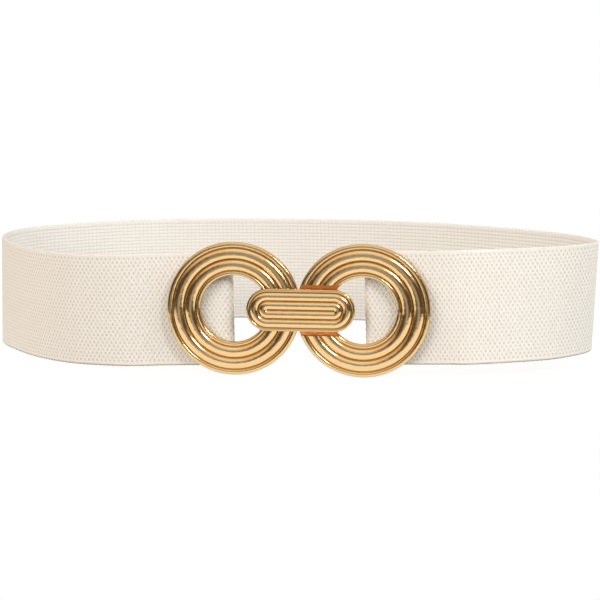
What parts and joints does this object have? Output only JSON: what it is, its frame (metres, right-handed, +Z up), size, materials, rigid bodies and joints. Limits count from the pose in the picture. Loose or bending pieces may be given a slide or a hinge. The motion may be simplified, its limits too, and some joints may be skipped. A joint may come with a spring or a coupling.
{
  "type": "elastic stretch belt",
  "caption": "Wide woven elastic belt fastened in a loop, its ends folded round bars behind an interlocking buckle of reeded rings and a reeded link.",
  "frame": {"origin": "middle of the belt's foot, on the surface that it stands on", "axes": "+X along the buckle to the wearer's left, +Y from the buckle to the back of the loop, +Z up"},
  "size_m": [0.2796, 0.1402, 0.0586],
  "materials": {
    "elastic_webbing": "off-white woven elastic with a fine staggered weave",
    "buckle_metal": "polished gold tone plating on a zinc alloy casting"
  },
  "bodies": {
    "root": {"elastic_band": "elastic_webbing", "left_buckle_half": "buckle_metal", "right_buckle_half": "buckle_metal"}
  },
  "joints": []
}
